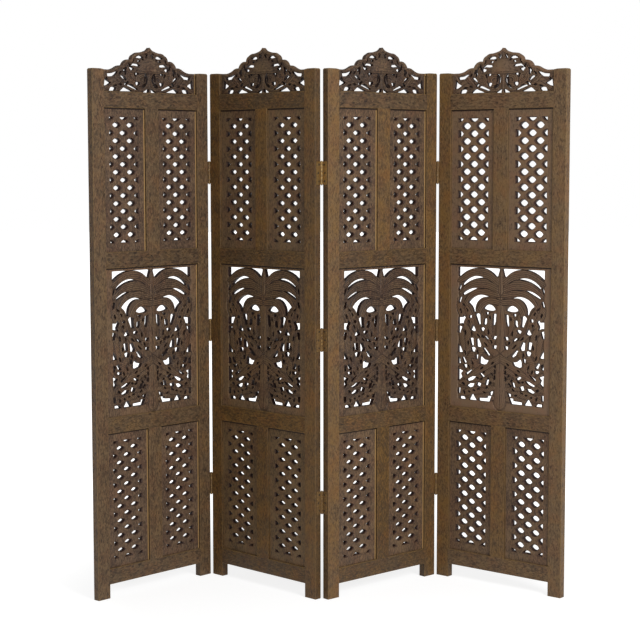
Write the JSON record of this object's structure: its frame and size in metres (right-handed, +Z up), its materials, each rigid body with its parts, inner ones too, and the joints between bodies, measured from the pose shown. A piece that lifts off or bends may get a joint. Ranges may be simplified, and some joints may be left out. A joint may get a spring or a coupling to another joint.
{
  "type": "carved jali folding screen",
  "caption": "Folding room divider of hinged, framed wooden panels with pierced diamond lattices, palm tree boards and scalloped palmette crests.",
  "frame": {"origin": "on the floor, under the middle of the standing screen's bounding box", "axes": "+X along the zigzag from the left panel to the right one, +Y from front to back, +Z up"},
  "size_m": [1.5682, 0.39, 1.829],
  "materials": {
    "frame_wood": "dark brown stained hardwood, chip-textured, low satin",
    "carved_wood": "dark brown stained pierced hardwood board, low satin",
    "hinge_brass": "aged brass, mostly darkened by stain"
  },
  "bodies": {
    "panel_1": {"panel_1_left_stile": "frame_wood", "panel_1_right_stile": "frame_wood", "panel_1_bottom_rail": "frame_wood", "panel_1_lower_mid_rail": "frame_wood", "panel_1_upper_mid_rail": "frame_wood", "panel_1_top_rail": "frame_wood", "panel_1_lower_mullion": "frame_wood", "panel_1_upper_mullion": "frame_wood", "panel_1_lower_lattices": "carved_wood", "panel_1_upper_lattices": "carved_wood", "panel_1_palm_board": "carved_wood", "panel_1_crest": "carved_wood", "hinges_1_2_left_leaves": "hinge_brass", "hinges_1_2_pins": "hinge_brass"},
    "panel_2": {"panel_2_left_stile": "frame_wood", "panel_2_right_stile": "frame_wood", "panel_2_bottom_rail": "frame_wood", "panel_2_lower_mid_rail": "frame_wood", "panel_2_upper_mid_rail": "frame_wood", "panel_2_top_rail": "frame_wood", "panel_2_lower_mullion": "frame_wood", "panel_2_upper_mullion": "frame_wood", "panel_2_lower_lattices": "carved_wood", "panel_2_upper_lattices": "carved_wood", "panel_2_palm_board": "carved_wood", "panel_2_crest": "carved_wood", "hinges_1_2_right_leaves": "hinge_brass", "hinges_2_3_left_leaves": "hinge_brass", "hinges_2_3_pins": "hinge_brass"},
    "panel_3": {"panel_3_left_stile": "frame_wood", "panel_3_right_stile": "frame_wood", "panel_3_bottom_rail": "frame_wood", "panel_3_lower_mid_rail": "frame_wood", "panel_3_upper_mid_rail": "frame_wood", "panel_3_top_rail": "frame_wood", "panel_3_lower_mullion": "frame_wood", "panel_3_upper_mullion": "frame_wood", "panel_3_lower_lattices": "carved_wood", "panel_3_upper_lattices": "carved_wood", "panel_3_palm_board": "carved_wood", "panel_3_crest": "carved_wood", "hinges_2_3_right_leaves": "hinge_brass", "hinges_3_4_left_leaves": "hinge_brass", "hinges_3_4_pins": "hinge_brass"},
    "panel_4": {"panel_4_left_stile": "frame_wood", "panel_4_right_stile": "frame_wood", "panel_4_bottom_rail": "frame_wood", "panel_4_lower_mid_rail": "frame_wood", "panel_4_upper_mid_rail": "frame_wood", "panel_4_top_rail": "frame_wood", "panel_4_lower_mullion": "frame_wood", "panel_4_upper_mullion": "frame_wood", "panel_4_lower_lattices": "carved_wood", "panel_4_upper_lattices": "carved_wood", "panel_4_palm_board": "carved_wood", "panel_4_crest": "carved_wood", "hinges_3_4_right_leaves": "hinge_brass"}
  },
  "joints": [
    {"name": "fold_1_2", "type": "hinge", "parent": "panel_2", "child": "panel_1", "pos_m": [-0.41532, 0.17542, 0.9], "axis": [0, 0, 1], "range_deg": [-91.2, 88.8]},
    {"name": "fold_2_3", "type": "hinge", "parent": "panel_2", "child": "panel_3", "pos_m": [-0.0261, -0.15788, 0.9], "axis": [0, 0, 1], "range_deg": [-86.4, 93.6]},
    {"name": "fold_3_4", "type": "hinge", "parent": "panel_3", "child": "panel_4", "pos_m": [0.37451, 0.16164, 0.9], "axis": [0, 0, 1], "range_deg": [-97.9, 82.1]}
  ]
}
